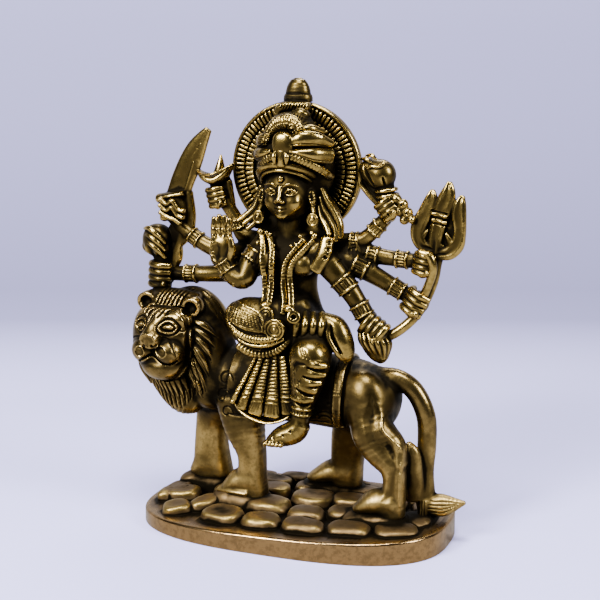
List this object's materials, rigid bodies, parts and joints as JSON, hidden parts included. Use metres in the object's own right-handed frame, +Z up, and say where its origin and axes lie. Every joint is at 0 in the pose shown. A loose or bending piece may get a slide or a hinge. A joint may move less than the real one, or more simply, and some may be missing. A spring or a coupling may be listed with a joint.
{
  "type": "durga figure",
  "caption": "Cast brass figure of a many-armed goddess seated on a standing lion, with a ribbed halo behind the head, on an oval plinth of rounded stones.",
  "frame": {"origin": "centre of the plinth's flat underside", "axes": "+X along the lion's body from head to tail, -Y towards the side that the goddess faces, +Z up"},
  "size_m": [0.1559, 0.084, 0.2],
  "materials": {
    "plinth_brass": "brass with brown patina in the recesses, side band ground to a coppery satin",
    "lion_brass": "smooth olive-brown brass, polished on the high places, black in the grooves",
    "goddess_brass": "antique brass, bright on the ridges and near black in the recesses"
  },
  "bodies": {
    "root": {"plinth": "plinth_brass", "lion": "lion_brass", "durga": "goddess_brass"}
  },
  "joints": []
}
